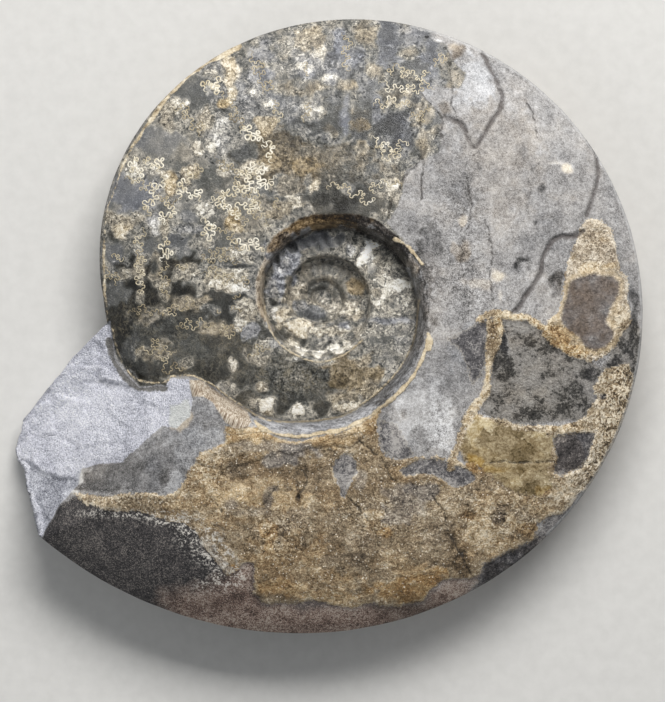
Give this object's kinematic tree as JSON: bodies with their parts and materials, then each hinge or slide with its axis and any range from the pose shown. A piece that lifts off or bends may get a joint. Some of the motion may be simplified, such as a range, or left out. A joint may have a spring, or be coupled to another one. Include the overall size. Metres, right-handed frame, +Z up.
{
  "type": "ammonite fossil",
  "caption": "Large compressed ammonite fossil lying on its side: open umbilicus, sharp keel, worn flat underside and a rough break at the end of the body chamber.",
  "frame": {"origin": "on the resting plane, under the middle of the outline seen from above", "axes": "+Z up out of the better flank, across the thickness; the break at the end of the body chamber points towards -X -Y; the coil's axis stands 2 mm towards -X and 9 mm towards +Y from the origin"},
  "size_m": [0.2012, 0.1964, 0.0419],
  "materials": {
    "fossil_stone": "satin, lightly polished"
  },
  "bodies": {
    "root": {"ammonite": "fossil_stone"}
  },
  "joints": []
}
